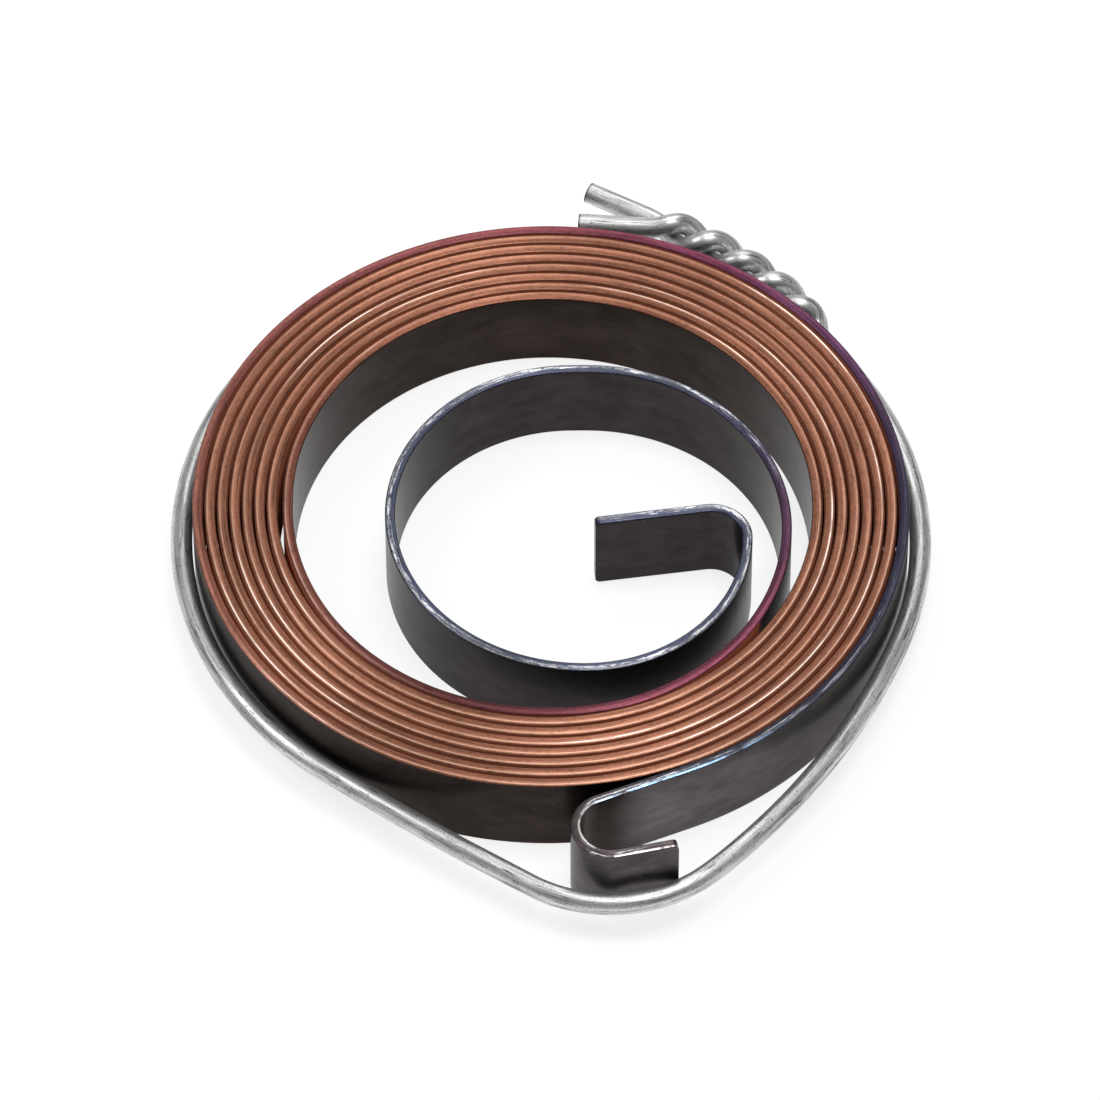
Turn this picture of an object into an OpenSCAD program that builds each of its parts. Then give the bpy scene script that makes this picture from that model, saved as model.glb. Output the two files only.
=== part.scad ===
// Drill press return spring: a flat spiral spring of blued steel strip, kept wound by a twisted tie wire.
// The coil lies flat, its axis is +Z, and its lower edge is on z = 0. The hook is at the front, -Y.

/* [Strip] */
// Width of the strip, which is the height of the coil
strip_w = 6.6; // [6:0.1:7.2]
// Thickness of the strip
strip_t = 0.7; // [0.6:0.01:0.76]
// Radius of the strip's rolled edges
edge_r = 0.2; // [0.08:0.01:0.25]
// Radius of the corners at the strip's two cut ends
corner_r = 0.35; // [0.1:0.05:0.6]

/* [Coil] */
// Outside diameter of the wound coil, across the front
coil_d = 50; // [48:0.5:54]
// Number of close turns
turns = 8; // [6:1:9]
// Gap between neighbouring turns
turn_gap = 0.15; // [0.12:0.01:0.2]
// Gap left under the outer turn where it is pulled in beside the hook
hook_gap = 0.03; // [0.02:0.01:0.06]
// How far the innermost close turn stands off at the left
stand_off = 0.25; // [0.1:0.01:0.35]
// Straight stretch of the innermost close turn, once at the left and once at the front
settle_run = 0.7; // [0.55:0.05:0.9]

/* [Inner loop] */
// Drop in radius from the close turns to the loop's front right quarter
drop_front = 2.2; // [1.8:0.05:2.6]
// Drop in radius to the loop's back right quarter
drop_right = 4.35; // [4:0.05:4.7]
// Drop in radius to the loop's back left quarter
drop_back = 5.5; // [5.2:0.05:5.8]
// Drop in radius to the loop's front left quarter
drop_left = 4.75; // [4.5:0.05:5]
// Drop in radius to the last quarter, which ends at the tang
drop_end = 6.9; // [6.6:0.05:7.2]
// Straight stretch at the back of the loop
loop_run = 0.9; // [0.6:0.05:1.2]
// Inside radius of the bend at the tang
tang_in_r = 2.1; // [1.6:0.1:2.6]
// Angle through which the tang is bent
tang_turn = 98; // [92:1:104]
// Length of the tang's flat end
tang_len = 7.7; // [6.5:0.1:8.5]

/* [Outer hook] */
// Angle, from the front, at which the strip leaves the coil
hook_az = 22.4; // [20:0.2:26]
// Straight stretch from the coil to the hook's bend
hook_lead = 6.7; // [6:0.1:7.2]
// Inside radius of the hook's bend
hook_in_r = 2; // [1.8:0.1:2.2]
// Angle through which the hook is bent
hook_turn = 170; // [167:1:176]
// Length of the hook's flat end
hook_len = 4.05; // [3.5:0.05:4.2]

/* [Tie wire] */
// Diameter of the wire
wire_d = 1.5; // [1.3:0.05:1.6]
// Height of the wire above the coil's lower edge
wire_z = 2.8; // [2.5:0.1:3.2]
// Clearance between the wire and the coil
wire_gap = 0.1; // [0.08:0.01:0.2]
// Clearance between the wire and the hook's bend
nose_gap = 0.3; // [0.25:0.05:0.5]
// Radius of the wire where it goes round the hook
nose_r = 10; // [9.8:0.1:11]
// Radius of the bowed right-hand run, as a multiple of the radius of the wire round the coil
run_bow = 1.95; // [1.8:0.05:2.3]

/* [Twist] */
// Bearing of the twist's start, anticlockwise from +X
twist_az = 47.5; // [42:0.1:50]
// Full turns in the twist
twist_turns = 2; // [1:1:2]
// Length of one full turn of the twist
twist_pitch = 5.5; // [5.4:0.1:6.4]
// Rate at which the twist stands off from the coil along its length
twist_flare = 0.19; // [0.14:0.01:0.22]
// Length of the lower free end
lower_end = 5.7; // [4.2:0.3:7.2]
// Length of the upper free end
upper_end = 6; // [3.6:0.3:7.2]

/* [Hidden] */
$fn = 64;
wire_sides = 12;

function snap(x) = round(x * 1000) / 1000;
function unit(a) = [cos(a), sin(a)];
function mix(a, b, u) = a + (b - a) * u;
function bearing(v) = atan2(v[1], v[0]);
function smooth(u) = let (v = min(max(u, 0), 1)) v * v * (3 - 2 * v);

// A wound turn is two half circles whose centres stand a quarter of the pitch either side of the axis.
quarter_pitch = snap((strip_t + turn_gap) / 4);
front_r = snap(coil_d / 2 - strip_t / 2);
right_c = [0, -quarter_pitch];
left_c = [0, quarter_pitch];
half_turns = 2 * turns - 2;
function half_turn_r(k) = front_r - (2 * k + 1) * quarter_pitch;
// The outer turn is pulled in at the front right, so its first quarter has a centre of its own.
pull = snap((turn_gap - hook_gap) / (1 - sin(hook_az)));
pull_c = right_c + [pull, 0];
pull_r = half_turn_r(0) - pull;

// Straight stretches at an odd angle are this much thinner and run this far into the bend they meet.
hair = 0.01;
lap = 0.1;

// The innermost turn and the loop are quarter circles, each with a drop in radius and a straight stretch after it.
loop_base_r = half_turn_r(half_turns + 1);
loop_quarters = [
    [stand_off, settle_run],
    [settle_run - stand_off, settle_run],
    [drop_front, 0],
    [drop_right, loop_run],
    [drop_back, 0],
    [drop_left, 0],
    [drop_end, 0]
];
loop_start_az = 90;
function quarter_r(i) = snap(loop_base_r - loop_quarters[i][0]);
function quarter_az(i) = loop_start_az + 90 * i;
function quarter_c(i) = quarter_start(i) - quarter_r(i) * unit(quarter_az(i));
function quarter_end(i) = quarter_c(i) + quarter_r(i) * unit(quarter_az(i) + 90);
function quarter_start(i) =
    i == 0
    ? [0, half_turn_r(half_turns) - quarter_pitch]
    : quarter_end(i - 1) + loop_quarters[i - 1][1] * unit(quarter_az(i) + 90);

tang_r = snap(tang_in_r + strip_t / 2);
hook_r = snap(hook_in_r + strip_t / 2);
tang_c = quarter_end(len(loop_quarters) - 1) - [tang_r, 0];
hook_bend = [-hook_lead, -pull_r - hook_r];
hook_c = pull_c + [
    hook_bend[0] * cos(hook_az) - hook_bend[1] * sin(hook_az),
    hook_bend[0] * sin(hook_az) + hook_bend[1] * cos(hook_az)
];

// The strip's section, upright on z = 0 with its thickness centred on x = 0.
module section(inset = 0) {
    half_t = strip_t / 2 - inset;
    top = strip_w - inset;
    r = edge_r - inset;
    translate([-half_t, inset + r]) square([2 * half_t, top - inset - 2 * r]);
    translate([r - half_t, inset]) square([2 * (half_t - r), top - inset]);
    for (x = [r - half_t, half_t - r])
        for (y = [inset + r, top - r])
            translate([x, y]) circle(r);
}

// The strip bent to a circle round a centre, from one bearing through an angle.
module bend(centre, r, start, angle) {
    translate(centre)
        rotate_extrude(start = start, angle = angle)
            translate([r, 0]) section();
}

// A straight length of strip along +Y from the origin.
module straight(length, inset = 0) {
    translate([0, length, 0])
        rotate([90, 0, 0])
            linear_extrude(length) section(inset);
}

// A flat end along +Y with rounded corners, begun a little way back inside the bend that it follows.
module flat_end(length) {
    intersection() {
        translate([0, -lap, 0]) straight(length + lap, hair);
        rotate([90, 0, 90])
            linear_extrude(2 * strip_t, center = true) {
                translate([-2 * lap, corner_r]) square([length + 2 * lap, strip_w - 2 * corner_r]);
                translate([-2 * lap, 0]) square([length + 2 * lap - corner_r, strip_w]);
                for (y = [corner_r, strip_w - corner_r])
                    translate([length - corner_r, y]) circle(corner_r);
            }
    }
}

module close_turns() {
    bend(pull_c, pull_r, hook_az - 90, 90 - hook_az);
    bend(right_c, half_turn_r(0), 0, 90);
    for (k = [1:half_turns]) {
        right = k % 2 == 0;
        bend(right ? right_c : left_c, half_turn_r(k), right ? -90 : 90, 180);
    }
}

module inner_loop() {
    for (i = [0:len(loop_quarters) - 1]) {
        run = loop_quarters[i][1];
        bend(quarter_c(i), quarter_r(i), quarter_az(i), 90);
        if (run > 0)
            translate(quarter_end(i)) rotate([0, 0, quarter_az(i) + 90]) straight(run);
    }
    bend(tang_c, tang_r, 0, tang_turn);
    translate(tang_c)
        rotate([0, 0, tang_turn])
            translate([tang_r, 0, 0]) flat_end(tang_len);
}

module outer_hook() {
    translate(pull_c) rotate([0, 0, hook_az]) {
        translate([lap, -pull_r, 0])
            rotate([0, 0, 90]) straight(hook_lead + 2 * lap, hair);
        bend(hook_bend, hook_r, 90, hook_turn);
        translate(hook_bend)
            rotate([0, 0, 90 + hook_turn])
                translate([hook_r, 0, 0]) flat_end(hook_len);
    }
}

module spiral_spring() {
    color([0.55, 0.36, 0.28]) {
        close_turns();
        inner_loop();
        outer_hook();
    }
}

// The wire's circles: round the coil's right and left halves, round the hook, and the bowed run between.
coil_face_r = half_turn_r(0) + strip_t / 2;
hug = wire_d / 2 + wire_gap;
ring_right_r = coil_face_r + hug;
ring_left_r = half_turn_r(1) + strip_t / 2 + hug;
nose_c = hook_c + [0, nose_r - hook_in_r - strip_t - wire_d / 2 - nose_gap];
bow_r = run_bow * ring_right_r;
bow_reach = norm(nose_c - right_c);
bow_dir = (nose_c - right_c) / bow_reach;
bow_x = (pow(bow_reach, 2) + pow(bow_r - ring_right_r, 2) - pow(bow_r - nose_r, 2)) / (2 * bow_reach);
bow_y = sqrt(pow(bow_r - ring_right_r, 2) - pow(bow_x, 2));
bow_c = right_c + bow_x * bow_dir + bow_y * [bow_dir[1], -bow_dir[0]];
right_leave_az = bearing(right_c - bow_c);
nose_meet_az = bearing(nose_c - bow_c);
left_leave_az = bearing(nose_c - left_c) - acos((ring_left_r - nose_r) / norm(nose_c - left_c));

// The twist is set out by the length along the coil, the distance out from its face, and the height.
low_z = wire_d / 2 + wire_gap;
twist_z = low_z + 1.43 * wire_d;
twist_out = 1.127 * wire_d;
coil_r_out = coil_face_r + twist_out;
strand_r = 0.576 * wire_d;
join_len = 2.15 * wire_d;
lower_len = twist_turns * twist_pitch + 0.7 * wire_d;
upper_len = twist_turns * twist_pitch + 0.73 * wire_d;
lower_heading = twist_az + 126;
upper_heading = twist_az + 104;
lower_rise = -0.045;
upper_rise = 0.02;
dive_from = 135;
dive_span = 60;
under_az = twist_az + 19.4;

function twist_bearing(s) = twist_az + s / coil_r_out * 180 / PI;
function twist_point(s, out, z) =
    concat(right_c + (coil_face_r + out + twist_flare * max(s, 0)) * unit(twist_bearing(s)), [z]);
function strand_out(s, phase) = twist_out + strand_r * cos(phase + 360 * s / twist_pitch);
function strand_z(s, phase) = twist_z + strand_r * sin(phase + 360 * s / twist_pitch);
function strand(s, phase) = twist_point(s, strand_out(s, phase), strand_z(s, phase));
function dive_z(a) = mix(wire_z, low_z, smooth((dive_from - a) / dive_span));
function level_arc(c, r, a0, a1, n) = [for (i = [1:n]) concat(c + r * unit(mix(a0, a1, i / n)), [wire_z])];

// The lower free end, its strand of the twist, and the way down on to the coil's right side.
over = 70;
under = over + 180;
lower_exit = strand(lower_len, over);
ring_join_az = twist_bearing(-join_len);
function join_point(w) =
    let (s = -join_len * w, u = smooth(w))
    twist_point(s, mix(strand_out(s, over), hug, u), mix(strand_z(s, over), wire_z, u));
right_part = concat(
    [for (u = [lower_end:-0.6:0.3]) lower_exit + u * concat(unit(lower_heading), [lower_rise])],
    [for (i = [45:-1:0]) strand(lower_len * i / 45, over)],
    [for (i = [1:10]) join_point(i / 10)],
    level_arc(right_c, ring_right_r, ring_join_az, ring_join_az - 4.5, 3)
);

// Round the right side, the bowed run, the hook, the straight run, the left side and down behind the coil.
ring_part = concat(
    level_arc(right_c, ring_right_r, ring_join_az - 4.5, right_leave_az, 14),
    level_arc(bow_c, bow_r, right_leave_az, nose_meet_az, 8),
    level_arc(nose_c, nose_r, nose_meet_az, left_leave_az, 14),
    level_arc(left_c, ring_left_r, left_leave_az + 4, left_leave_az, 1),
    level_arc(left_c, ring_left_r, left_leave_az, dive_from - 360, 20),
    [for (i = [1:9])
        let (a = mix(dive_from, 90, i / 9))
        concat(left_c + ring_left_r * unit(a), [dive_z(a)])],
    [for (i = [1:6])
        let (a = mix(90, under_az, i / 6))
        concat(right_c + ring_right_r * unit(a), [dive_z(a)])]
);

// The back strand, its turn below the other strand, its part of the twist and the upper free end.
turn_from = 1.196 * wire_d;
turn_to = 0.785 * wire_d;
turn_back = 0.713 * wire_d;
turn_out_from = 0.506 * wire_d;
turn_out_to = 1.634 * wire_d;
turn_dip = 0.157 * wire_d;
turn_top = twist_z - 0.441 * wire_d;
swing_from = 4.325 * wire_d;
under_len = (under_az - twist_az) * PI / 180 * coil_r_out;
function back_turn(p) =
    let (w = (1 + sin(p)) / 2, k = cos(p))
    twist_point(
        mix(turn_from, turn_to, w) - turn_back * k,
        mix(turn_out_from, turn_out_to, w) - turn_dip * k,
        mix(low_z, turn_top, w));
function under_point(s) =
    let (w = smooth((swing_from - s) / (swing_from - turn_from)), a = twist_bearing(s))
    concat(
        right_c + (coil_face_r + mix(hug, turn_out_from + twist_flare * max(s, 0), w)) * unit(a),
        [dive_z(a)]);
twist_join = turn_to + wire_d / 6;
upper_exit = strand(upper_len, under);
back_part = concat(
    [for (i = [1:12]) under_point(mix(under_len, turn_from, i / 13))],
    [for (p = [-90:180 / 17:90]) back_turn(p)],
    [for (i = [0:45]) strand(mix(twist_join, upper_len, i / 45), under)],
    [for (u = [0.6:0.6:upper_end]) upper_exit + u * concat(unit(upper_heading), [upper_rise])]
);

// Rounds the corners of a route by averaging each point with its neighbours.
function eased(p, n) =
    n == 0 ? p : eased([
        for (i = [0:len(p) - 1])
            i == 0 || i == len(p) - 1 ? p[i] : (p[i - 1] + 2 * p[i] + p[i + 1]) / 4
    ], n - 1);
ease_passes = 4;
wire_route = concat(eased(right_part, ease_passes), ring_part, eased(back_part, ease_passes));

// A round wire along a route.
module wire(route, d, sides) {
    last = len(route) - 1;
    points = [
        for (i = [0:last])
            let (
                ahead = route[min(i + 1, last)] - route[max(i - 1, 0)],
                along = ahead / norm(ahead),
                across = cross(along, [0, 0, 1]),
                side = across / norm(across),
                up = cross(side, along)
            )
            for (j = [0:sides - 1])
                route[i] + d / 2 * (cos(360 * j / sides) * side + sin(360 * j / sides) * up)
    ];
    skin = [
        for (i = [0:last - 1])
            for (j = [0:sides - 1])
                let (k = (j + 1) % sides)
                [i * sides + j, i * sides + k, (i + 1) * sides + k, (i + 1) * sides + j]
    ];
    first_cap = [for (j = [sides - 1:-1:0]) j];
    last_cap = [for (j = [0:sides - 1]) last * sides + j];
    polyhedron(points, concat(skin, [first_cap, last_cap]), convexity = 8);
}

module tie_wire() {
    color([0.74, 0.75, 0.76]) wire(wire_route, wire_d, wire_sides);
}

spiral_spring();
tie_wire();
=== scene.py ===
from math import acos, atan2, ceil, cos, degrees, hypot, pi, radians, sin, sqrt

import bpy
import numpy as np
from mathutils import Matrix, Vector

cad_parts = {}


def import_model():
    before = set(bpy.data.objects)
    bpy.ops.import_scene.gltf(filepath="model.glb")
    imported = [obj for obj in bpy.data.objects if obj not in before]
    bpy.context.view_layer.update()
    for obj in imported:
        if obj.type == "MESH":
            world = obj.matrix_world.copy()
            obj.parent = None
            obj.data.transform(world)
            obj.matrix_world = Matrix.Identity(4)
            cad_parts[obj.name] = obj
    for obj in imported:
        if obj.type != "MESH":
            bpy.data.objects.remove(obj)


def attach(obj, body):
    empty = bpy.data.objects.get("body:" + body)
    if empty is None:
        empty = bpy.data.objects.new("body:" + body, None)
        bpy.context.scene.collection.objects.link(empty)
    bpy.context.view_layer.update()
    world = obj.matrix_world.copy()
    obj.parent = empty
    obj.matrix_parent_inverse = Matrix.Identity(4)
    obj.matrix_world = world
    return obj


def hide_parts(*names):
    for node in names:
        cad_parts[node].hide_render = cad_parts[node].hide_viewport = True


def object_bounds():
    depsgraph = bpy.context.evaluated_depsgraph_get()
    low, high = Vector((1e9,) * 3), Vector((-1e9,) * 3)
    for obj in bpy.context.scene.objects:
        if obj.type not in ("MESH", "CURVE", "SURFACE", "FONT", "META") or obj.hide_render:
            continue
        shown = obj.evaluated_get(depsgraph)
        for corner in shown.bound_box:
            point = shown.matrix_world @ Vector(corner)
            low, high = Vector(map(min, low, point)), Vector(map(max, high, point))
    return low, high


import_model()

CAD_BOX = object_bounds()

# A flat spiral spring of blued strip, kept wound by a twisted tie wire.
# Lengths are in millimetres and angles in degrees, and the meshes are scaled to metres.
MM = 0.001

# The strip's section, and the corners of its cut ends
STRIP_W = 6.6
STRIP_T = 0.7
EDGE_R = 0.12
CORNER_R = 0.35

# The close turns: half circles whose centres stand a quarter of the pitch either side of the axis
FRONT_R = 24.65
QUARTER_PITCH = 0.213
HALF_TURNS = 14

# The outer turn is pulled in beside the hook, and the innermost close turn stands off at the left
PULL = 0.194
STAND_OFF = 0.25
SETTLE_RUN = 0.7

# The inner loop: how far each quarter's radius drops, and the straight stretch after one of them
LOOP_DROPS = (2.2, 4.35, 5.5, 4.75, 6.9)
LOOP_RUN_AFTER = 1
LOOP_RUN = 0.9

# The bent tang at the inner end
TANG_R = 2.45
TANG_TURN = 98
TANG_LEN = 7.7

# The hook at the outer end
HOOK_AZ = 22.4
HOOK_LEAD = 6.7
HOOK_R = 2.35
HOOK_TURN = 170
HOOK_LEN = 4.05

# The tie wire, which is drawn a hair thinner than it is, to stay inside its box
WIRE_D = 1.5
WIRE_TRIM = 0.005
WIRE_Z = 2.8
WIRE_GAP = 0.1
NOSE_GAP = 0.3
NOSE_R = 10
RUN_BOW = 1.95

# The wire's twist and its two free ends
TWIST_AZ = 47.5
TWIST_TURNS = 2
TWIST_PITCH = 5.5
TWIST_FLARE = 0.19
LOWER_END = 5.7
UPPER_END = 6

# The camera: where it looks, from how far, and how it is turned
LOOK_AT = (0.1506, 0.8956, 0.0)
CAMERA_DISTANCE = 622.33
CAMERA_ELEVATION = 52.3694
CAMERA_ROLL = -0.2146
CAMERA_LENS = 294.545
CAMERA_SENSOR = 36.0

# The floor, a little below the object so that they don't share a plane
FLOOR_HALF = 1500
FLOOR_GAP = 0.05

# How finely the meshes are drawn
COIL_STEP = 2.0
BEND_STEP = 6.0
COIL_LEAST_R = 8
RUN_STEP = 0.5
EDGE_STEPS = 6
CORNER_ROWS = 7
WIRE_SIDES = 28
WIRE_FINE = 3


def unit(angle):
    return np.array([cos(radians(angle)), sin(radians(angle))])


def smooth(u):
    v = min(max(u, 0.0), 1.0)
    return v * v * (3 - 2 * v)


def mix(a, b, u):
    return a + (b - a) * u


def lengths(points):
    """The length of a line of points up to each of them."""
    steps = np.linalg.norm(np.diff(points, axis=0), axis=1)
    return np.concatenate([[0], np.cumsum(steps)])


# Mesh making

def make_mesh(name, points, faces, corner_normals, marks):
    """One mesh object from millimetre points, with a normal for every face corner and named marks."""
    mesh = bpy.data.meshes.new(name)
    mesh.from_pydata((np.asarray(points) * MM).tolist(), [], faces)
    mesh.polygons.foreach_set("use_smooth", [True] * len(faces))
    for label, values in marks.items():
        values = np.asarray(values, dtype=np.float32)
        kind, field = ("FLOAT_VECTOR", "vector") if values.ndim == 2 else ("FLOAT", "value")
        mesh.attributes.new(label, kind, "POINT").data.foreach_set(field, values.ravel())
    mesh.normals_split_custom_set(corner_normals)
    piece = bpy.data.objects.new(name, mesh)
    bpy.context.scene.collection.objects.link(piece)
    return piece


def skin(rings, sides, normals, first_cap, last_cap):
    """Faces and corner normals of a closed tube of rings, with a flat cap at each end."""
    faces = []
    corners = []
    for i in range(rings - 1):
        for j in range(sides):
            k = (j + 1) % sides
            face = (i * sides + j, (i + 1) * sides + j, (i + 1) * sides + k, i * sides + k)
            faces.append(face)
            corners.extend(normals[v] for v in face)
    faces.append(tuple(range(sides)))
    corners.extend([first_cap] * sides)
    faces.append(tuple(rings * sides - 1 - j for j in range(sides)))
    corners.extend([last_cap] * sides)
    return faces, corners


# The strip's centre line is drawn by a pen that runs straight or turns on a circle.

def half_turn_r(k):
    return FRONT_R - (2 * k + 1) * QUARTER_PITCH


RIGHT_C = np.array([0.0, -QUARTER_PITCH])
LEFT_C = np.array([0.0, QUARTER_PITCH])
PULL_C = RIGHT_C + [PULL, 0]
PULL_R = half_turn_r(0) - PULL


def turn(r, angle):
    return ("turn", r, angle)


def run(length):
    return ("run", length, 0)


def trace(start, heading, moves):
    """Rows of x, y, heading along a line of runs and turns. A positive angle turns left."""
    at = np.array(start, dtype=float)
    rows = [(at[0], at[1], heading)]
    for kind, size, angle in moves:
        if kind == "run":
            count = max(1, ceil(size / RUN_STEP))
            for i in range(1, count + 1):
                p = at + unit(heading) * size * i / count
                rows.append((p[0], p[1], heading))
        else:
            side = 1 if angle > 0 else -1
            centre = at + size * unit(heading + 90 * side)
            count = ceil(abs(angle) / (COIL_STEP if size > COIL_LEAST_R else BEND_STEP))
            for i in range(1, count + 1):
                h = heading + angle * i / count
                p = centre + size * unit(h - 90 * side)
                rows.append((p[0], p[1], h))
            heading += angle
        at = np.array(rows[-1][:2])
    return rows


def hook_moves():
    return [turn(PULL_R, HOOK_AZ - 90), run(HOOK_LEAD), turn(HOOK_R, HOOK_TURN), run(HOOK_LEN)]


def coil_moves():
    moves = [turn(half_turn_r(0), 90)]
    moves += [turn(half_turn_r(k), 180) for k in range(1, HALF_TURNS + 1)]
    base = half_turn_r(HALF_TURNS + 1)
    moves += [turn(base - STAND_OFF, 90), run(SETTLE_RUN)]
    moves += [turn(base - SETTLE_RUN + STAND_OFF, 90), run(SETTLE_RUN)]
    for i, drop in enumerate(LOOP_DROPS):
        moves.append(turn(base - drop, 90))
        if i == LOOP_RUN_AFTER:
            moves.append(run(LOOP_RUN))
    return moves + [turn(TANG_R, TANG_TURN), run(TANG_LEN)]


def strip_line():
    """The strip's centre line from the hook's free end to the tang's free end."""
    start = RIGHT_C + [half_turn_r(0), 0]
    hook = [(x, y, h + 180) for x, y, h in reversed(trace(start, -90, hook_moves()))]
    return np.array(hook[:-1] + trace(start, 90, coil_moves()))


def end_rows(rows):
    """Puts extra rows in the last stretch at both ends, where the corners are rounded."""
    spots = CORNER_R * (1 - np.cos(np.linspace(0, pi / 2, CORNER_ROWS)))
    first = [rows[0] + [*(unit(rows[0][2]) * s), 0] for s in spots]
    last = [rows[-1] - [*(unit(rows[-1][2]) * s), 0] for s in reversed(spots)]
    return np.array(first + list(rows[1:-1]) + last)


def section():
    """The section's outline: place across, which edge is nearer, drop from that edge, and normal."""
    flat = STRIP_T / 2 - EDGE_R
    rows = []
    for side, level, start in ((1, 1, 0), (-1, 1, 90), (-1, -1, 180), (1, -1, 270)):
        for i in range(EDGE_STEPS + 1):
            n = unit(start + 90 * i / EDGE_STEPS)
            rows.append((side * flat + EDGE_R * n[0], level, EDGE_R * (1 - abs(n[1])), n[0], n[1]))
    return rows


# The hook's own stretch counts as this part of a turn, below 0.
HOOK_STRETCH = HOOK_LEN + radians(HOOK_TURN) * HOOK_R + HOOK_LEAD
HOOK_TURN_SPAN = 0.4

# The turns between which the strip's outer and inner sides lie against a neighbouring turn
OUTER_BURIED = (1.0, 8.1)
INNER_BURIED = (0.0, 7.1)


def winding(rows, length):
    """Turns wound since the strip left its hook, and below 0 on the hook itself."""
    start = rows[np.argmin(np.abs(length - HOOK_STRETCH)), 2]
    on_hook = HOOK_TURN_SPAN * (length / HOOK_STRETCH - 1)
    return np.where(length < HOOK_STRETCH, on_hook, (rows[:, 2] - start) / 360)


def is_buried(wound, across):
    """1 where a side of the strip lies against the next turn, so that it shows only through the gap."""
    first, last = OUTER_BURIED if across > 0 else INNER_BURIED
    return float(first < wound < last)


def end_lean(s, total):
    """How far the rounded corners lean at a place near a cut end: -1 or 1 at the cut, and 0 past them."""
    lean = max(0.0, (CORNER_R - min(s, total - s)) / CORNER_R)
    return -lean if s < total / 2 else lean


def strip_piece():
    rows = end_rows(strip_line())
    length = lengths(rows[:, :2])
    outline = section()
    points = []
    normals = []
    marks = {name: [] for name in ("along", "across", "rim", "turn", "buried", "place")}
    for (x, y, heading), s, wound in zip(rows, length, winding(rows, length)):
        out = unit(heading - 90)
        ahead = unit(heading)
        lean = end_lean(s, length[-1])
        upright = sqrt(1 - lean * lean)
        inset = CORNER_R * (1 - upright)
        for a, level, drop, na, nz in outline:
            z = STRIP_W - inset - drop if level > 0 else inset + drop
            flat = na * out + abs(nz) * lean * ahead
            points.append((x + a * out[0], y + a * out[1], z))
            normals.append((flat[0], flat[1], nz * upright))
            marks["along"].append((*ahead, 0))
            marks["across"].append(a / (STRIP_T / 2))
            marks["rim"].append(abs(nz))
            marks["turn"].append(wound)
            marks["buried"].append(is_buried(wound, a))
            marks["place"].append((s, a, z))
    first_cap = (*-unit(rows[0][2]), 0)
    last_cap = (*unit(rows[-1][2]), 0)
    faces, corners = skin(len(rows), len(outline), normals, first_cap, last_cap)
    return make_mesh("strip", points, faces, corners, marks)


# The wire's circles round the coil
COIL_FACE_R = half_turn_r(0) + STRIP_T / 2
HUG = WIRE_D / 2 + WIRE_GAP
RING_RIGHT_R = COIL_FACE_R + HUG
RING_LEFT_R = half_turn_r(1) + STRIP_T / 2 + HUG
BOW_R = RUN_BOW * RING_RIGHT_R
LOW_Z = WIRE_D / 2 + WIRE_GAP

# The twist is set out by the length along the coil, the distance out from its face, and the height.
TWIST_Z = LOW_Z + 1.43 * WIRE_D
TWIST_OUT = 1.127 * WIRE_D
COIL_R_OUT = COIL_FACE_R + TWIST_OUT
STRAND_R = 0.576 * WIRE_D
JOIN_LEN = 2.15 * WIRE_D
LOWER_LEN = TWIST_TURNS * TWIST_PITCH + 0.7 * WIRE_D
UPPER_LEN = TWIST_TURNS * TWIST_PITCH + 0.73 * WIRE_D
LOWER_HEADING = TWIST_AZ + 126
UPPER_HEADING = TWIST_AZ + 104
LOWER_RISE = -0.045
UPPER_RISE = 0.02
OVER = 70
UNDER = OVER + 180

# The way down behind the coil and the turn below the other strand
DIVE_FROM = 135
DIVE_SPAN = 60
UNDER_AZ = TWIST_AZ + 19.4
UNDER_LEN = radians(UNDER_AZ - TWIST_AZ) * COIL_R_OUT
TURN_FROM = 1.196 * WIRE_D
TURN_TO = 0.785 * WIRE_D
TURN_BACK = 0.713 * WIRE_D
TURN_OUT_FROM = 0.506 * WIRE_D
TURN_OUT_TO = 1.634 * WIRE_D
TURN_DIP = 0.157 * WIRE_D
TURN_TOP = TWIST_Z - 0.441 * WIRE_D
TURN_JOIN = TURN_TO + WIRE_D / 6
SWING_FROM = 4.325 * WIRE_D

# Steps on each stretch of the wire's route
END_STEP = 0.6
END_HAIR = 0.01
STRAND_STEPS = 45
JOIN_STEPS = 10
RUN_IN = 4.5
RUN_IN_STEPS = 3
RIGHT_STEPS = 14
BOW_STEPS = 8
NOSE_STEPS = 14
LEFT_STEPS = 20
DIVE_LEFT_STEPS = 9
DIVE_RIGHT_STEPS = 6
UNDER_STEPS = 13
TURN_POINTS = 18
EASE_PASSES = 4


def bearing(v):
    return degrees(atan2(v[1], v[0]))


def rotated(v, angle):
    return v[0] * unit(angle) + v[1] * unit(angle + 90)


def twist_bearing(s):
    return TWIST_AZ + degrees(s / COIL_R_OUT)


def twist_point(s, out, z):
    xy = RIGHT_C + (COIL_FACE_R + out + TWIST_FLARE * max(s, 0)) * unit(twist_bearing(s))
    return np.array([*xy, z])


def strand_place(s, phase):
    return np.array([TWIST_OUT, TWIST_Z]) + STRAND_R * unit(phase + 360 * s / TWIST_PITCH)


def strand(s, phase):
    return twist_point(s, *strand_place(s, phase))


def dive_z(a):
    return mix(WIRE_Z, LOW_Z, smooth((DIVE_FROM - a) / DIVE_SPAN))


def level_arc(c, r, a0, a1, n):
    """Points on a circle at the wire's own height, without the first."""
    return [np.array([*(c + r * unit(mix(a0, a1, i / n))), WIRE_Z]) for i in range(1, n + 1)]


def dive_arc(c, r, a0, a1, n):
    """Points on a circle on the way down behind the coil, without the first."""
    bearings = [mix(a0, a1, i / n) for i in range(1, n + 1)]
    return [np.array([*(c + r * unit(a)), dive_z(a)]) for a in bearings]


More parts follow.
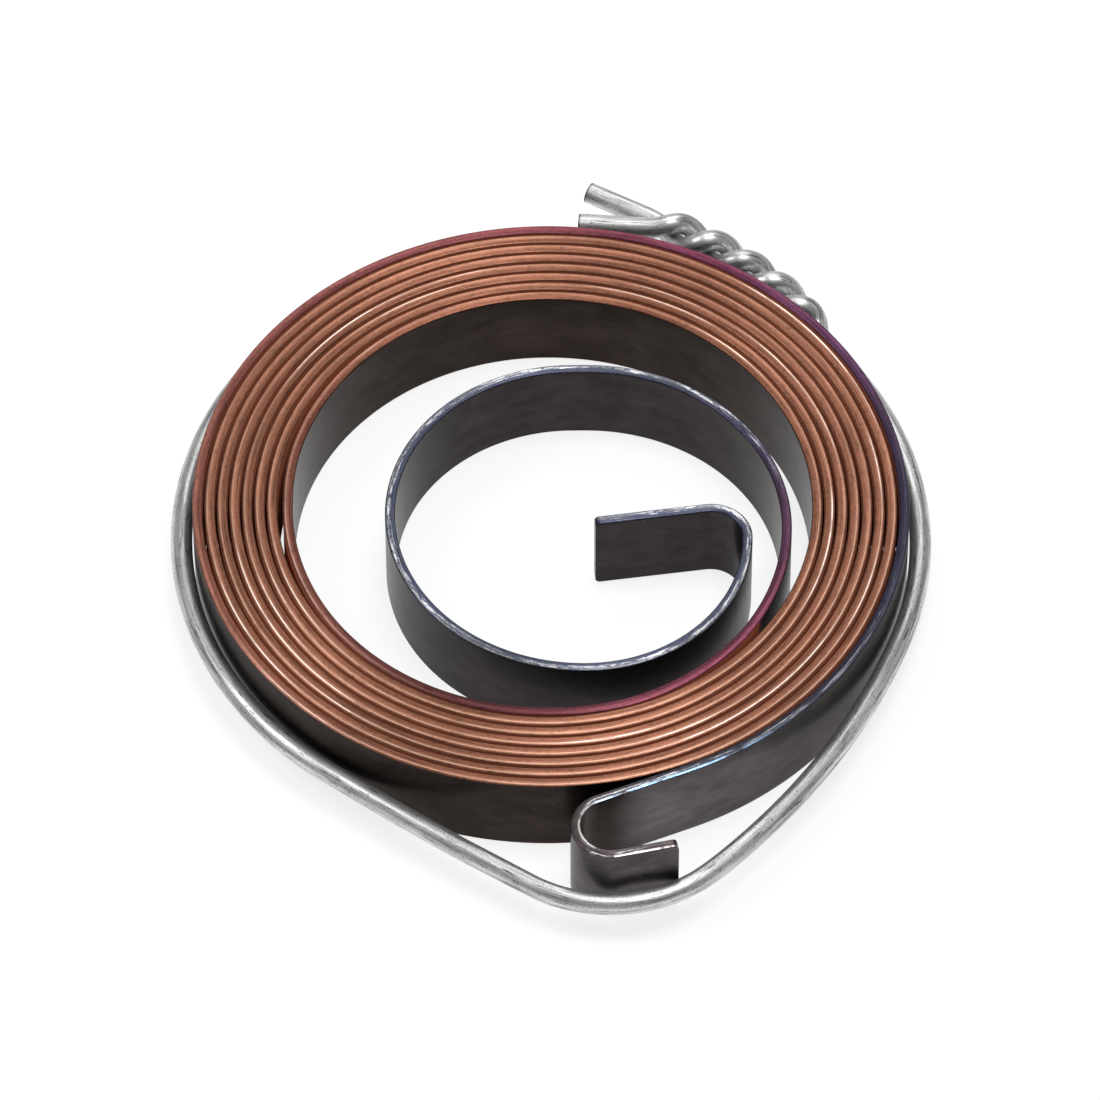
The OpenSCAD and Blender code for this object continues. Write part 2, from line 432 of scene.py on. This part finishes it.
def right_part():
    """The lower free end, its strand of the twist, and the way down on to the coil's right side."""
    leave = strand(LOWER_LEN, OVER)
    away = np.array([*unit(LOWER_HEADING), LOWER_RISE])
    route = [leave + u * away for u in np.arange(LOWER_END, END_STEP / 2 - END_HAIR, -END_STEP)]
    route += [strand(LOWER_LEN * i / STRAND_STEPS, OVER) for i in range(STRAND_STEPS, -1, -1)]
    for i in range(1, JOIN_STEPS + 1):
        s = -JOIN_LEN * i / JOIN_STEPS
        out, z = mix(strand_place(s, OVER), np.array([HUG, WIRE_Z]), smooth(i / JOIN_STEPS))
        route.append(twist_point(s, out, z))
    join = twist_bearing(-JOIN_LEN)
    return route + level_arc(RIGHT_C, RING_RIGHT_R, join, join - RUN_IN, RUN_IN_STEPS)


def nose_centre():
    """Centre of the wire's bend round the hook."""
    hook_c = PULL_C + rotated((-HOOK_LEAD, -PULL_R - HOOK_R), HOOK_AZ)
    return hook_c + [0, NOSE_R - HOOK_R - STRIP_T / 2 - WIRE_D / 2 - NOSE_GAP]


def bow_centre(nose_c):
    """Centre of the bowed run's circle, which touches the right ring and the nose from outside."""
    reach = hypot(*(nose_c - RIGHT_C))
    along = (nose_c - RIGHT_C) / reach
    to_ring = BOW_R - RING_RIGHT_R
    to_nose = BOW_R - NOSE_R
    x = (reach ** 2 + to_ring ** 2 - to_nose ** 2) / (2 * reach)
    y = sqrt(to_ring ** 2 - x ** 2)
    return RIGHT_C + x * along + y * np.array([along[1], -along[0]])


def ring_part():
    """Round the right side, the bowed run, the hook, the straight run and the left side, and down."""
    nose_c = nose_centre()
    bow_c = bow_centre(nose_c)
    right_leave = bearing(RIGHT_C - bow_c)
    nose_meet = bearing(nose_c - bow_c)
    apart = nose_c - LEFT_C
    left_leave = bearing(apart) - degrees(acos((RING_LEFT_R - NOSE_R) / hypot(*apart)))
    join = twist_bearing(-JOIN_LEN)
    route = level_arc(RIGHT_C, RING_RIGHT_R, join - RUN_IN, right_leave, RIGHT_STEPS)
    route += level_arc(bow_c, BOW_R, right_leave, nose_meet, BOW_STEPS)
    route += level_arc(nose_c, NOSE_R, nose_meet, left_leave, NOSE_STEPS)
    route += level_arc(LEFT_C, RING_LEFT_R, left_leave, left_leave, 1)
    route += level_arc(LEFT_C, RING_LEFT_R, left_leave, DIVE_FROM - 360, LEFT_STEPS)
    route += dive_arc(LEFT_C, RING_LEFT_R, DIVE_FROM, 90, DIVE_LEFT_STEPS)
    return route + dive_arc(RIGHT_C, RING_RIGHT_R, 90, UNDER_AZ, DIVE_RIGHT_STEPS)


def under_point(s):
    """A point of the back strand as it swings out from the coil."""
    w = smooth((SWING_FROM - s) / (SWING_FROM - TURN_FROM))
    a = twist_bearing(s)
    r = COIL_FACE_R + mix(HUG, TURN_OUT_FROM + TWIST_FLARE * max(s, 0), w)
    return np.array([*(RIGHT_C + r * unit(a)), dive_z(a)])


def back_turn(p):
    """A point of the turn below the other strand, for p from -90 at its foot to 90 at its top."""
    w = (1 + sin(radians(p))) / 2
    k = cos(radians(p))
    s = mix(TURN_FROM, TURN_TO, w) - TURN_BACK * k
    out = mix(TURN_OUT_FROM, TURN_OUT_TO, w) - TURN_DIP * k
    return twist_point(s, out, mix(LOW_Z, TURN_TOP, w))


def back_part():
    """The back strand, its turn below the other strand, its part of the twist and the upper free end."""
    leave = strand(UPPER_LEN, UNDER)
    away = np.array([*unit(UPPER_HEADING), UPPER_RISE])
    unders = [mix(UNDER_LEN, TURN_FROM, i / UNDER_STEPS) for i in range(1, UNDER_STEPS)]
    strands = [mix(TURN_JOIN, UPPER_LEN, i / STRAND_STEPS) for i in range(STRAND_STEPS + 1)]
    route = [under_point(s) for s in unders]
    route += [back_turn(p) for p in np.linspace(-90, 90, TURN_POINTS)]
    route += [strand(s, UNDER) for s in strands]
    return route + [leave + u * away for u in np.arange(END_STEP, UPPER_END + END_HAIR, END_STEP)]


def eased(route):
    """Rounds the corners of a route by averaging each point with its neighbours."""
    p = np.array(route)
    for _ in range(EASE_PASSES):
        p[1:-1] = (p[:-2] + 2 * p[1:-1] + p[2:]) / 4
    return p


def refined(p, parts):
    """A curve through the points of a route, with this many parts to each step."""
    length = lengths(p)
    step = np.diff(length)
    slope = np.gradient(p, length, axis=0)
    fine = [p[0]]
    for i in range(len(p) - 1):
        for j in range(1, parts + 1):
            u = j / parts
            fine.append(
                (1 + 2 * u) * (1 - u) ** 2 * p[i] + u * (1 - u) ** 2 * step[i] * slope[i]
                + u * u * (3 - 2 * u) * p[i + 1] - u * u * (1 - u) * step[i] * slope[i + 1])
    return np.array(fine)


def unit_rows(vectors):
    return vectors / np.linalg.norm(vectors, axis=1)[:, None]


def wire_piece():
    route = np.concatenate([eased(right_part()), ring_part(), eased(back_part())])
    route = refined(route, WIRE_FINE)
    length = lengths(route)
    ahead = unit_rows(np.gradient(route, axis=0))
    side = unit_rows(np.cross(ahead, [0, 0, 1]))
    up = np.cross(side, ahead)
    points = []
    normals = []
    marks = {name: [] for name in ("along", "cut", "place")}
    for i, p in enumerate(route):
        for j in range(WIRE_SIDES):
            c, s = unit(360 * j / WIRE_SIDES)
            n = c * side[i] + s * up[i]
            points.append(p + (WIRE_D / 2 - WIRE_TRIM) * n)
            normals.append(tuple(n))
            marks["along"].append(tuple(ahead[i]))
            marks["cut"].append(float(i in (0, len(route) - 1)))
            marks["place"].append((c, s, length[i]))
    faces, corners = skin(len(route), WIRE_SIDES, normals, tuple(-ahead[0]), tuple(ahead[-1]))
    return make_mesh("wire", points, faces, corners, marks)


# Shader nodes

def colour(r, g, b):
    """A colour as seen on screen, 0 to 255, as a linear colour."""
    def linear(v):
        v /= 255
        return v / 12.92 if v <= 0.04045 else ((v + 0.055) / 1.055) ** 2.4
    return (linear(r), linear(g), linear(b), 1.0)


def grey(level):
    return (level, level, level, 1.0)


def add(tree, kind, inputs=None, **settings):
    """A new node, with its settings, and with its inputs set to values or linked to sockets."""
    node = tree.nodes.new(kind)
    for name, value in settings.items():
        setattr(node, name, value)
    for name, value in (inputs or {}).items():
        if isinstance(value, bpy.types.NodeSocket):
            tree.links.new(value, node.inputs[name])
        else:
            node.inputs[name].default_value = value
    return node


def attribute(tree, name, output="Fac"):
    return add(tree, "ShaderNodeAttribute", attribute_name=name).outputs[output]


def coordinate(tree, axis):
    """A place's coordinate along one axis of the part, in metres."""
    at = add(tree, "ShaderNodeNewGeometry").outputs["Position"]
    return add(tree, "ShaderNodeSeparateXYZ", {"Vector": at}).outputs[axis]


def maths(tree, operation, *values):
    return add(tree, "ShaderNodeMath", dict(enumerate(values)), operation=operation).outputs[0]


def times(tree, a, b):
    return maths(tree, "MULTIPLY", a, b)


def spread(tree, value, low, high, to_low=0.0, to_high=1.0, smoothed=True):
    """A value taken from one range to another, held at both ends."""
    inputs = {"Value": value, "From Min": low, "From Max": high, "To Min": to_low, "To Max": to_high}
    kind = "SMOOTHSTEP" if smoothed else "LINEAR"
    return add(tree, "ShaderNodeMapRange", inputs, interpolation_type=kind).outputs["Result"]


def band(tree, value, low, high, soft):
    """1 between two values, with soft borders."""
    return times(tree, spread(tree, value, low - soft, low), spread(tree, value, high + soft, high))


def blend(tree, factor, a, b, mode="MIX"):
    """Two colours mixed."""
    node = add(tree, "ShaderNodeMix", {0: factor, 6: a, 7: b}, data_type="RGBA", blend_type=mode)
    return node.outputs[2]


def ramp(tree, value, stops):
    """A colour from a row of stops of place and colour."""
    node = add(tree, "ShaderNodeValToRGB", {"Fac": value})
    row = node.color_ramp.elements
    while len(row) < len(stops):
        row.new(1.0)
    for element, (place, stop_colour) in zip(row, stops):
        element.position = place
        element.color = stop_colour
    return node.outputs["Color"]


def shade(tree, base, value, low, high, darkest):
    """A colour darkened where a value is low."""
    tones = ramp(tree, value, [(low, grey(darkest)), (high, grey(1.0))])
    return blend(tree, 1.0, base, tones, "MULTIPLY")


def noise(tree, vector, pattern):
    """Noise, 0 to 1, over a vector stretched as its pattern says."""
    stretch, detail, roughness = pattern
    at = add(tree, "ShaderNodeMapping", {"Vector": vector, "Scale": stretch}).outputs["Vector"]
    inputs = {"Vector": at, "Scale": 1.0, "Detail": detail, "Roughness": roughness}
    return add(tree, "ShaderNodeTexNoise", inputs).outputs["Fac"]


def new_material(name):
    material = bpy.data.materials.new(name)
    material.use_nodes = True
    tree = material.node_tree
    tree.nodes.clear()
    return material, tree


# A quarter turn sets the sheen of a brushed metal across its grain.
ACROSS_GRAIN = 0.25


def brushed_metal(tree, bump, inputs):
    """The shader of a metal whose grain runs along the piece."""
    grain = {
        "Anisotropic Rotation": ACROSS_GRAIN,
        "Tangent": attribute(tree, "along", "Vector"),
        "Normal": add(tree, "ShaderNodeBump", bump).outputs["Normal"],
    }
    surface = add(tree, "ShaderNodeBsdfPrincipled", {**inputs, **grain})
    add(tree, "ShaderNodeOutputMaterial", {"Surface": surface.outputs["BSDF"]})


# Heat colours of the strip's edge, each on the outer half and on the inner half. The temper hues are the
# steel's own; the outer colour of each pair is lighter as a painted highlight and the inner one darker as
# painted shade
STEEL = ((112, 100, 102), (92, 80, 82))
GLINT = ((92, 94, 106), (62, 61, 70))
NAVY = ((76, 76, 94), (54, 53, 69))
INDIGO = ((86, 76, 102), (60, 53, 74))
VIOLET = ((120, 78, 110), (94, 60, 88))
MAGENTA = ((146, 72, 98), (126, 62, 90))
WINE = ((150, 82, 88), (130, 70, 76))
RUSSET = ((174, 116, 100), (134, 82, 68))
COPPER = ((188, 128, 103), (154, 101, 79))
PLUM = ((124, 66, 74), (90, 48, 54))
# A lighter magenta on the innermost turn at the front: partly its temper colour, partly a painted highlight
ROSE_AND_HIGHLIGHT = ((172, 92, 112), (112, 56, 74))
MAUVE = ((104, 68, 92), (82, 52, 74))
SILVER = ((142, 144, 152), (92, 96, 114))
# Which colour of each pair: the outer half carries painted highlight, the inner half painted shade
OUTER_LIT_HALF = 0
INNER_SHADED_HALF = 1

# Where the heat colours lie along the winding, in turns from the hook
HEAT_STOPS = (
    (-0.40, STEEL),
    (-0.18, STEEL),
    (-0.10, GLINT),
    (0.05, GLINT),
    (0.12, NAVY),
    (0.21, INDIGO),
    (0.29, VIOLET),
    (0.36, MAGENTA),
    (0.44, WINE),
    (0.70, RUSSET),
    (0.92, COPPER),
    (7.44, COPPER),
    (7.69, RUSSET),
    (7.94, PLUM),
    # Partly temper colour, partly a painted highlight
    (8.07, ROSE_AND_HIGHLIGHT),
    (8.18, MAUVE),
    (8.27, INDIGO),
    (8.38, SILVER),
    (9.50, SILVER),
)
TURN_LOW = -0.5
TURN_SPAN = 10.0

# The other colours of the strip's edge: pale steel, partly painted highlight; dark spots; painted highlights
# on the copper crests; and painted highlight lines on the hook
# Pale steel: partly wear, partly painted highlight on the edge's lit side
PALE_STEEL_AND_HIGHLIGHT = (222, 223, 226)
HOOK_SPOT = (66, 60, 61)
LOOP_SPOT = (68, 72, 102)
# Painted highlights on the crests of the copper turns
CREST_HIGHLIGHT = (236, 196, 170)
CREST_HIGHLIGHT_WHITE = (250, 234, 222)
# Painted highlight lines along the border of the hook's edge, on its bend and on its lead
BEND_HIGHLIGHT = (216, 212, 208)
LEAD_HIGHLIGHT = (156, 190, 228)

# The colours of the strip's faces: the darkest and the lightest of their mottle, their specks, and the copper
# painted on the faces inside the gaps as bounce light
COIL_FACE = ((37, 29, 26), (54, 46, 42))
LOOP_FACE = ((44, 39, 40), (60, 55, 57))
HOOK_FACE = ((72, 67, 68), (102, 97, 99))
FACE_SPECK = (96, 88, 84)
# Painted bounce light on the faces inside the gaps between turns
GAP_BOUNCE_LIGHT = (206, 140, 110)

# Noise patterns of the strip: how they are stretched along, across and up it, their detail and roughness
PATCHES = ((2.3, 0.0, 0.0), 2.0, 0.55)
STREAKS = ((0.2, 7.0, 1.0), 4.0, 0.65)
SPECKS = ((2.5, 5.0, 2.5), 3.0, 0.7)
FINE_GRAIN = ((6.0, 9.0, 6.0), 2.0, 0.7)
PALE_MARKS_AND_HIGHLIGHTS = ((0.4, 6.0, 2.0), 5.0, 0.7)
DARK_SPOTS = ((2.2, 6.0, 2.0), 4.0, 0.75)
# Patches of the painted highlights on the crests and on the hook
LONG_HIGHLIGHTS = ((0.04, 0.0, 0.0), 2.0, 0.5)
SHORT_HIGHLIGHTS = ((0.5, 0.0, 0.0), 3.0, 0.6)
FACE_MOTTLE = ((0.3, 1.0, 0.7), 4.0, 0.6)
FACE_SPECKS = ((2.0, 1.0, 2.5), 2.0, 0.6)
BRUSHING = ((0.6, 8.0, 8.0), 3.0, 0.6)

# Where one look gives way to another along the strip, in turns from the hook
COIL_TO_HOOK_EDGE = (0.2, -0.1)
COIL_TO_LOOP_EDGE = (8.2, 8.35)
HOOK_TO_COIL_SPOTS = (-0.1, 0.1)
FLAT_END_TO_BEND = (-0.3, -0.24)
BEND_TO_LEAD = (-0.2, -0.1)
COIL_TO_HOOK_HIGHLIGHT = (0.06, 0.0)
COIL_TO_LOOP_FACE = (8.1, 8.4)
COIL_TO_HOOK_FACE = (0.12, 0.0)

# Bands along the strip and across its edge: from, to, and the width of the soft borders
COPPER_TURNS = (0.9, 7.7, 0.2)
# Painted shade inside the hook's bend
HOOK_BEND_SHADE = (-0.31, -0.14, 0.07)
PALE_HIGHLIGHT_SIDE = (-0.05, 0.55, 0.25)
CREST_HIGHLIGHT_BAND = (0.4, 0.56, 0.1)
HOOK_HIGHLIGHT_BAND = (0.5, 0.8, 0.12)

# Where the colours change across the strip: on its edge, from the darker inner half (painted shade) to the
# lighter outer half (painted highlight), and from its inner face to its outer face
SHADED_TO_LIT_HALF = (-0.25, 0.2)
INNER_TO_OUTER_FACE = (-0.5, 0.5)

# The painted crest highlights are weakest at the back of the coil and strongest at the front, by their place
# along Y in metres.
HIGHLIGHT_BACK_TO_FRONT = (0.012, -0.012)
LEAST_HIGHLIGHT = (0.12, 0.52)

# How far the normal leans up where the face becomes the edge, in the open and in a gap, and where a gap ends
FACE_TO_EDGE = (0.25, 0.6)
GAP_TO_EDGE = (0.0, 0.2)
EDGE_TO_GAP = (0.9, 0.3)

# The strip's finish, on its faces and on its edges
METAL = (1.0, 0.9)
ROUGHNESS = (0.24, 0.3)
ANISOTROPY = (0.3, 0.85)
GRAZING = (0.75, 1.0)
GRAIN_ROUGHNESS = 0.1


def heat_ramp(tree, wound, half):
    """The heat colour along the winding, on one half of the edge: lighter on the outer half as painted
    highlight, darker on the inner half as painted shade.
    """
    along = spread(tree, wound, TURN_LOW, TURN_LOW + TURN_SPAN, smoothed=False)
    return ramp(tree, along, [((at - TURN_LOW) / TURN_SPAN, colour(*pair[half])) for at, pair in HEAT_STOPS])


def heat_colour(tree, place, across, wound):
    """The heat colours of both halves, the outer half lighter as painted highlight and the inner half darker
    as painted shade, with patches, streaks, specks and grain.
    """
    # The outer half painted lighter and the inner half darker: painted light and shade on the rounded edge
    lit_outer_half = spread(tree, across, *SHADED_TO_LIT_HALF)
    edge = blend(tree, lit_outer_half, heat_ramp(tree, wound, INNER_SHADED_HALF), heat_ramp(tree, wound, OUTER_LIT_HALF))
    edge = shade(tree, edge, noise(tree, wound, PATCHES), low=0.35, high=0.6, darkest=0.75)
    edge = shade(tree, edge, noise(tree, place, STREAKS), low=0.36, high=0.56, darkest=0.55)
    edge = shade(tree, edge, noise(tree, place, SPECKS), low=0.32, high=0.46, darkest=0.6)
    return shade(tree, edge, noise(tree, place, FINE_GRAIN), low=0.3, high=0.7, darkest=0.7)


def bare_steel(tree, place, lit, wound, edge):
    """Pale marks, partly wear and partly painted highlight on the lit side of the edge, and dark spots, on
    the edge of the hook, the loop and the tang.
    """
    on_hook = spread(tree, wound, *COIL_TO_HOOK_EDGE)
    on_loop = spread(tree, wound, *COIL_TO_LOOP_EDGE)
    steel = maths(tree, "MAXIMUM", on_hook, on_loop)
    # Pale marks, partly wear and partly painted highlight, kept to the edge's lit side
    pale_and_highlight = spread(tree, noise(tree, place, PALE_MARKS_AND_HIGHLIGHTS), low=0.5, high=0.6)
    pale_and_highlight = times(tree, pale_and_highlight, band(tree, lit, *PALE_HIGHLIGHT_SIDE))
    edge = blend(tree, times(tree, pale_and_highlight, steel), edge, colour(*PALE_STEEL_AND_HIGHLIGHT))
    spots = spread(tree, noise(tree, place, DARK_SPOTS), low=0.53, high=0.6)
    dark = blend(tree, spread(tree, wound, *HOOK_TO_COIL_SPOTS), colour(*HOOK_SPOT), colour(*LOOP_SPOT))
    return blend(tree, times(tree, spots, steel), edge, dark)


def crest_highlights(tree, place, across, wound, short_highlights, edge):
    """Painted highlight lines on the crests of the copper turns, strongest at the front of the coil."""
    # Painted highlights: long patches, with a floor that rises toward the front of the coil, broken up by
    # short patches
    long_highlights = spread(tree, noise(tree, place, LONG_HIGHLIGHTS), low=0.5, high=0.62)
    least_highlight = spread(tree, coordinate(tree, "Y"), *HIGHLIGHT_BACK_TO_FRONT, *LEAST_HIGHLIGHT)
    highlight_strength = maths(tree, "MAXIMUM", long_highlights, least_highlight)
    highlight_strength = times(tree, highlight_strength, spread(tree, short_highlights, 0.0, 1.0, to_low=0.6, to_high=1.0))
    crest_highlight_mask = times(tree, band(tree, across, *CREST_HIGHLIGHT_BAND), band(tree, wound, *COPPER_TURNS))
    bright = blend(tree, long_highlights, colour(*CREST_HIGHLIGHT), colour(*CREST_HIGHLIGHT_WHITE))
    return blend(tree, times(tree, crest_highlight_mask, highlight_strength), edge, bright)


def hook_highlight_line(tree, lit, wound, short_highlights, edge):
    """A painted highlight line along the border of the hook's edge, bluish on its straight lead."""
    # Painted highlight along one border of the hook's edge
    line = times(tree, band(tree, lit, *HOOK_HIGHLIGHT_BAND), spread(tree, wound, *COIL_TO_HOOK_HIGHLIGHT))
    bright = blend(tree, spread(tree, wound, *BEND_TO_LEAD), colour(*BEND_HIGHLIGHT), colour(*LEAD_HIGHLIGHT))
    return blend(tree, times(tree, line, short_highlights), edge, bright)


def edge_colour(tree, place, across, wound):
    """The whole colour of the strip's edge, painted highlights included. Its painted lit side changes over on
    the hook's flat end.
    """
    lit = times(tree, across, spread(tree, wound, *FLAT_END_TO_BEND, to_low=-1.0, to_high=1.0))
    short_highlights = spread(tree, noise(tree, place, SHORT_HIGHLIGHTS), low=0.4, high=0.52)
    edge = heat_colour(tree, place, across, wound)
    edge = bare_steel(tree, place, lit, wound, edge)
    edge = crest_highlights(tree, place, across, wound, short_highlights, edge)
    return hook_highlight_line(tree, lit, wound, short_highlights, edge)


def mottled(tree, mottle, pair):
    darkest, lightest = pair
    return ramp(tree, mottle, [(0.3, colour(*darkest)), (0.7, colour(*lightest))])


def face_colour(tree, place, across, wound, buried):
    """Mottled charcoal, brown on the coil and grey on the loop and the hook, with painted shade inside the
    hook's bend, and copper painted on the faces inside the gaps as bounce light.
    """
    mottle = noise(tree, place, FACE_MOTTLE)
    on_loop = spread(tree, wound, *COIL_TO_LOOP_FACE)
    bare = blend(tree, on_loop, mottled(tree, mottle, COIL_FACE), mottled(tree, mottle, LOOP_FACE))
    specks = spread(tree, noise(tree, place, FACE_SPECKS), low=0.74, high=0.8)
    bare = blend(tree, specks, bare, colour(*FACE_SPECK))
    # Painted shade: the concave inside of the hook's bend keeps the darker coil face colour instead of the
    # hook's
    bend_shade = times(tree, band(tree, wound, *HOOK_BEND_SHADE), spread(tree, across, *INNER_TO_OUTER_FACE))
    on_hook = maths(tree, "SUBTRACT", spread(tree, wound, *COIL_TO_HOOK_FACE), bend_shade)
    bare = blend(tree, on_hook, bare, mottled(tree, mottle, HOOK_FACE))
    # Painted bounce light: copper on the faces inside the gaps
    return blend(tree, buried, bare, colour(*GAP_BOUNCE_LIGHT))


def strip_material():
    """Heat-coloured edges with a sheen across the grain, dark satin faces, and matt faces in the gaps between
    turns, painted copper as bounce light.
    """
    material, tree = new_material("blued strip")
    place = attribute(tree, "place", "Vector")
    across = attribute(tree, "across")
    wound = attribute(tree, "turn")
    buried = attribute(tree, "buried")
    rim = attribute(tree, "rim")
    gap_edge = times(tree, spread(tree, rim, *GAP_TO_EDGE), buried)
    on_edge = maths(tree, "MAXIMUM", spread(tree, rim, *FACE_TO_EDGE), gap_edge)
    in_gap = times(tree, buried, spread(tree, rim, *EDGE_TO_GAP))
    in_open = maths(tree, "SUBTRACT", 1.0, in_gap)
    face = face_colour(tree, place, across, wound, buried)
    edge = edge_colour(tree, place, across, wound)
    brushing = noise(tree, place, BRUSHING)
    grain = spread(tree, brushing, 0.2, 0.8, 0.0, GRAIN_ROUGHNESS, smoothed=False)

    def finish(pair):
        return spread(tree, on_edge, 0.0, 1.0, *pair, smoothed=False)

    brushed_metal(tree, {"Height": brushing, "Strength": 0.06, "Distance": 0.05 * MM}, {
        "Base Color": blend(tree, on_edge, face, edge),
        "Metallic": times(tree, in_open, finish(METAL)),
        "Specular IOR Level": times(tree, in_open, 0.5),
        "Specular Tint": blend(tree, on_edge, *(grey(level) for level in GRAZING)),
        "Roughness": maths(tree, "ADD", finish(ROUGHNESS), grain),
        "Anisotropic": finish(ANISOTROPY),
    })
    return material


# The wire's colours: bright zinc from its darkest to its lightest streaks, its marks, and the cut ends
ZINC = ((140, 140, 143), (225, 225, 224))
ZINC_SCRATCH = (88, 86, 84)
ZINC_FLECK = (96, 94, 92)
CUT_END = (58, 54, 52)

# Noise patterns of the wire: how they are stretched round and along it, their detail and roughness
WIRE_STREAKS = ((3.0, 3.0, 0.18), 4.0, 0.65)
WIRE_SCRATCHES = ((6.0, 6.0, 0.5), 3.0, 0.7)
WIRE_FLECKS = ((4.0, 4.0, 6.0), 3.0, 0.7)

# The wire's finish, the roughness from its dull to its bright streaks
WIRE_METAL = 0.85
WIRE_ANISOTROPY = 0.5
WIRE_ROUGHNESS = (0.44, 0.32)


def wire_material():
    """Drawn galvanised wire, streaked, scratched and flecked, with dull cut ends."""
    material, tree = new_material("galvanised wire")
    place = attribute(tree, "place", "Vector")
    streaks = noise(tree, place, WIRE_STREAKS)
    scratches = noise(tree, place, WIRE_SCRATCHES)
    flecks = noise(tree, place, WIRE_FLECKS)
    darkest, lightest = ZINC
    base = ramp(tree, streaks, [(0.32, colour(*darkest)), (0.56, colour(*lightest))])
    base = blend(tree, spread(tree, scratches, low=0.33, high=0.42), colour(*ZINC_SCRATCH), base)
    base = blend(tree, spread(tree, flecks, low=0.3, high=0.42), colour(*ZINC_FLECK), base)
    base = blend(tree, attribute(tree, "cut"), base, colour(*CUT_END))
    brushed_metal(tree, {"Height": scratches, "Strength": 0.2, "Distance": 0.06 * MM}, {
        "Base Color": base,
        "Metallic": WIRE_METAL,
        "Roughness": spread(tree, streaks, 0.3, 0.7, *WIRE_ROUGHNESS, smoothed=False),
        "Anisotropic": WIRE_ANISOTROPY,
    })
    return material


# The floor's white, and how it is made up where it is seen directly: from the lamps and its own
FLOOR_WHITE = 0.8
FLOOR_SHADED = 0.28
FLOOR_OWN = 0.8


def seen_directly(tree):
    """1 for the rays that look at the floor straight on, in metal or through glass."""
    path = add(tree, "ShaderNodeLightPath").outputs
    rays = maths(tree, "MAXIMUM", path["Is Camera Ray"], path["Is Glossy Ray"])
    return maths(tree, "MAXIMUM", rays, path["Is Transmission Ray"])


def floor_material():
    """White paper: seen directly, part of its white is its own, so only the shadow shows on it."""
    material, tree = new_material("white floor")
    lit = add(tree, "ShaderNodeBsdfDiffuse", {"Color": grey(FLOOR_WHITE)}).outputs["BSDF"]
    shaded = add(tree, "ShaderNodeBsdfDiffuse", {"Color": grey(FLOOR_SHADED)}).outputs["BSDF"]
    own = add(tree, "ShaderNodeEmission", {"Strength": FLOOR_OWN}).outputs["Emission"]
    seen = add(tree, "ShaderNodeAddShader", {0: shaded, 1: own}).outputs["Shader"]
    surface = add(tree, "ShaderNodeMixShader", {0: seen_directly(tree), 1: lit, 2: seen})
    add(tree, "ShaderNodeOutputMaterial", {"Surface": surface.outputs["Shader"]})
    return material


# Stage, light and camera

def floor():
    half = FLOOR_HALF * MM
    corners = [(-half, -half, 0), (half, -half, 0), (half, half, 0), (-half, half, 0)]
    mesh = bpy.data.meshes.new("floor")
    mesh.from_pydata(corners, [], [(0, 1, 2, 3)])
    mesh.materials.append(floor_material())
    piece = bpy.data.objects.new("floor", mesh)
    piece.location.z = CAD_BOX[0][2] - FLOOR_GAP * MM
    bpy.context.scene.collection.objects.link(piece)


def world(strength):
    sky = bpy.data.worlds.new("studio")
    sky.use_nodes = True
    tree = sky.node_tree
    tree.nodes.clear()
    light = add(tree, "ShaderNodeBackground", {"Color": grey(1.0), "Strength": strength})
    add(tree, "ShaderNodeOutputWorld", {"Surface": light.outputs["Background"]})
    bpy.context.scene.world = sky


def soft_box(name, azimuth, elevation, distance, size, power):
    """A square lamp that faces the object, in metres and watts. Azimuth 0 is at +X, and 90 is behind."""
    lamp = bpy.data.lights.new(name, "AREA")
    lamp.shape = "SQUARE"
    lamp.size = size
    lamp.energy = power
    flat = unit(azimuth) * cos(radians(elevation))
    spot = Vector((flat[0], flat[1], sin(radians(elevation)))) * distance
    piece = bpy.data.objects.new(name, lamp)
    piece.location = spot
    piece.rotation_euler = (-spot).to_track_quat("-Z", "Y").to_euler()
    bpy.context.scene.collection.objects.link(piece)


def lights():
    soft_box("overhead", azimuth=15, elevation=82, distance=0.6, size=0.22, power=1.5)
    soft_box("back", azimuth=84, elevation=47, distance=0.2, size=0.12, power=0.082)
    soft_box("left", azimuth=170, elevation=55, distance=0.6, size=0.22, power=0.8)
    soft_box("right", azimuth=10, elevation=38, distance=0.6, size=0.3, power=0.1)
    world(strength=0.2)


def camera():
    lens = bpy.data.cameras.new("camera")
    lens.lens = CAMERA_LENS
    lens.sensor_width = CAMERA_SENSOR
    ahead = Vector((0, cos(radians(CAMERA_ELEVATION)), -sin(radians(CAMERA_ELEVATION))))
    tilt = Matrix.Rotation(radians(90 - CAMERA_ELEVATION), 4, "X")
    roll = Matrix.Rotation(radians(CAMERA_ROLL), 4, "Z")
    place = Matrix.Translation((Vector(LOOK_AT) - ahead * CAMERA_DISTANCE) * MM)
    piece = bpy.data.objects.new("camera", lens)
    piece.matrix_world = place @ tilt @ roll
    bpy.context.scene.collection.objects.link(piece)
    bpy.context.scene.camera = piece


def finish_piece(piece, material, node):
    piece.data.materials.append(material)
    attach(piece, "root")
    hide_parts(node)


finish_piece(strip_piece(), strip_material(), "spiral_spring")
finish_piece(wire_piece(), wire_material(), "tie_wire")
floor()
lights()
camera()
bpy.context.scene.view_settings.view_transform = "Standard"
